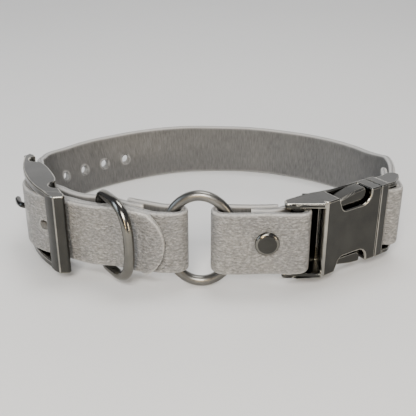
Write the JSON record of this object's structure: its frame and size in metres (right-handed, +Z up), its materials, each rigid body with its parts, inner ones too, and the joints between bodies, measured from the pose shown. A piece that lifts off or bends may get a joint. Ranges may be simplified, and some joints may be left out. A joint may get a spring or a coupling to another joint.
{
  "type": "adjustable pet collar",
  "caption": "Flat adjustable pet collar: coated strap ring with a curved tongue buckle, a D-ring, a front ring, a screwed link strap and a curved side-release buckle.",
  "frame": {"origin": "centre of the collar's footprint on the table", "axes": "+Z up, +Y from the front rings to the back of the neck, +X from the tongue buckle to the side-release buckle"},
  "size_m": [0.1653, 0.1324, 0.04],
  "materials": {
    "strap": "grey coated strap with a fine pebbled grain, satin, worn lighter on its edges",
    "hardware": "dark gunmetal plating, polished like a mirror",
    "spring": "bright spring steel"
  },
  "bodies": {
    "collar": {"main_strap": "strap", "buckle_strap": "strap", "link_strap": "strap", "buckle_frame": "hardware", "female_body": "hardware", "link_screw": "hardware", "link_post": "hardware", "base_screw": "hardware", "base_post": "hardware"},
    "tongue": {"buckle_tongue": "hardware"},
    "d_ring": {"d_ring": "hardware"},
    "o_ring": {"o_ring": "hardware"},
    "male_half": {"male_frame": "hardware", "upper_arm_pin": "hardware", "lower_arm_pin": "hardware", "latch_spring": "spring", "loop_screw": "hardware", "loop_post": "hardware"},
    "upper_arm": {"upper_latch_arm": "hardware"},
    "lower_arm": {"lower_latch_arm": "hardware"}
  },
  "joints": [
    {"name": "tongue_turn", "type": "hinge", "parent": "collar", "child": "tongue", "pos_m": [-0.06554, -0.03352, 0.02], "axis": [0, 0, 1], "range_deg": [-3, 4]},
    {"name": "d_ring_swing", "type": "hinge", "parent": "collar", "child": "d_ring", "pos_m": [-0.0411, -0.0475, 0.02], "axis": [0, 0, -1], "range_deg": [0, 75]},
    {"name": "o_ring_rock", "type": "hinge", "parent": "collar", "child": "o_ring", "pos_m": [-0.0029, -0.0568, 0.02], "axis": [0.0872, 0.9962, 0], "range_deg": [-2, 2]},
    {"name": "male_release", "type": "slide", "parent": "collar", "child": "male_half", "axis": [0.8304, 0.5572, 0], "range_m": [0, 0.024], "deforming": ["main_strap", "upper_latch_arm", "lower_latch_arm"]},
    {"name": "upper_latch_press", "type": "hinge", "parent": "male_half", "child": "upper_arm", "pos_m": [0.0661, -0.03832, 0.0273], "axis": [0.5572, -0.8304, 0], "range_deg": [0, 14], "stiffness_Nm_per_rad": 0.08, "springref_deg": -11.46, "deforming": ["latch_spring"]},
    {"name": "lower_latch_press", "type": "hinge", "parent": "male_half", "child": "lower_arm", "pos_m": [0.0661, -0.03832, 0.0133], "axis": [-0.5572, 0.8304, 0], "range_deg": [0, 14], "stiffness_Nm_per_rad": 0.08, "springref_deg": -11.46, "deforming": ["latch_spring"]}
  ]
}
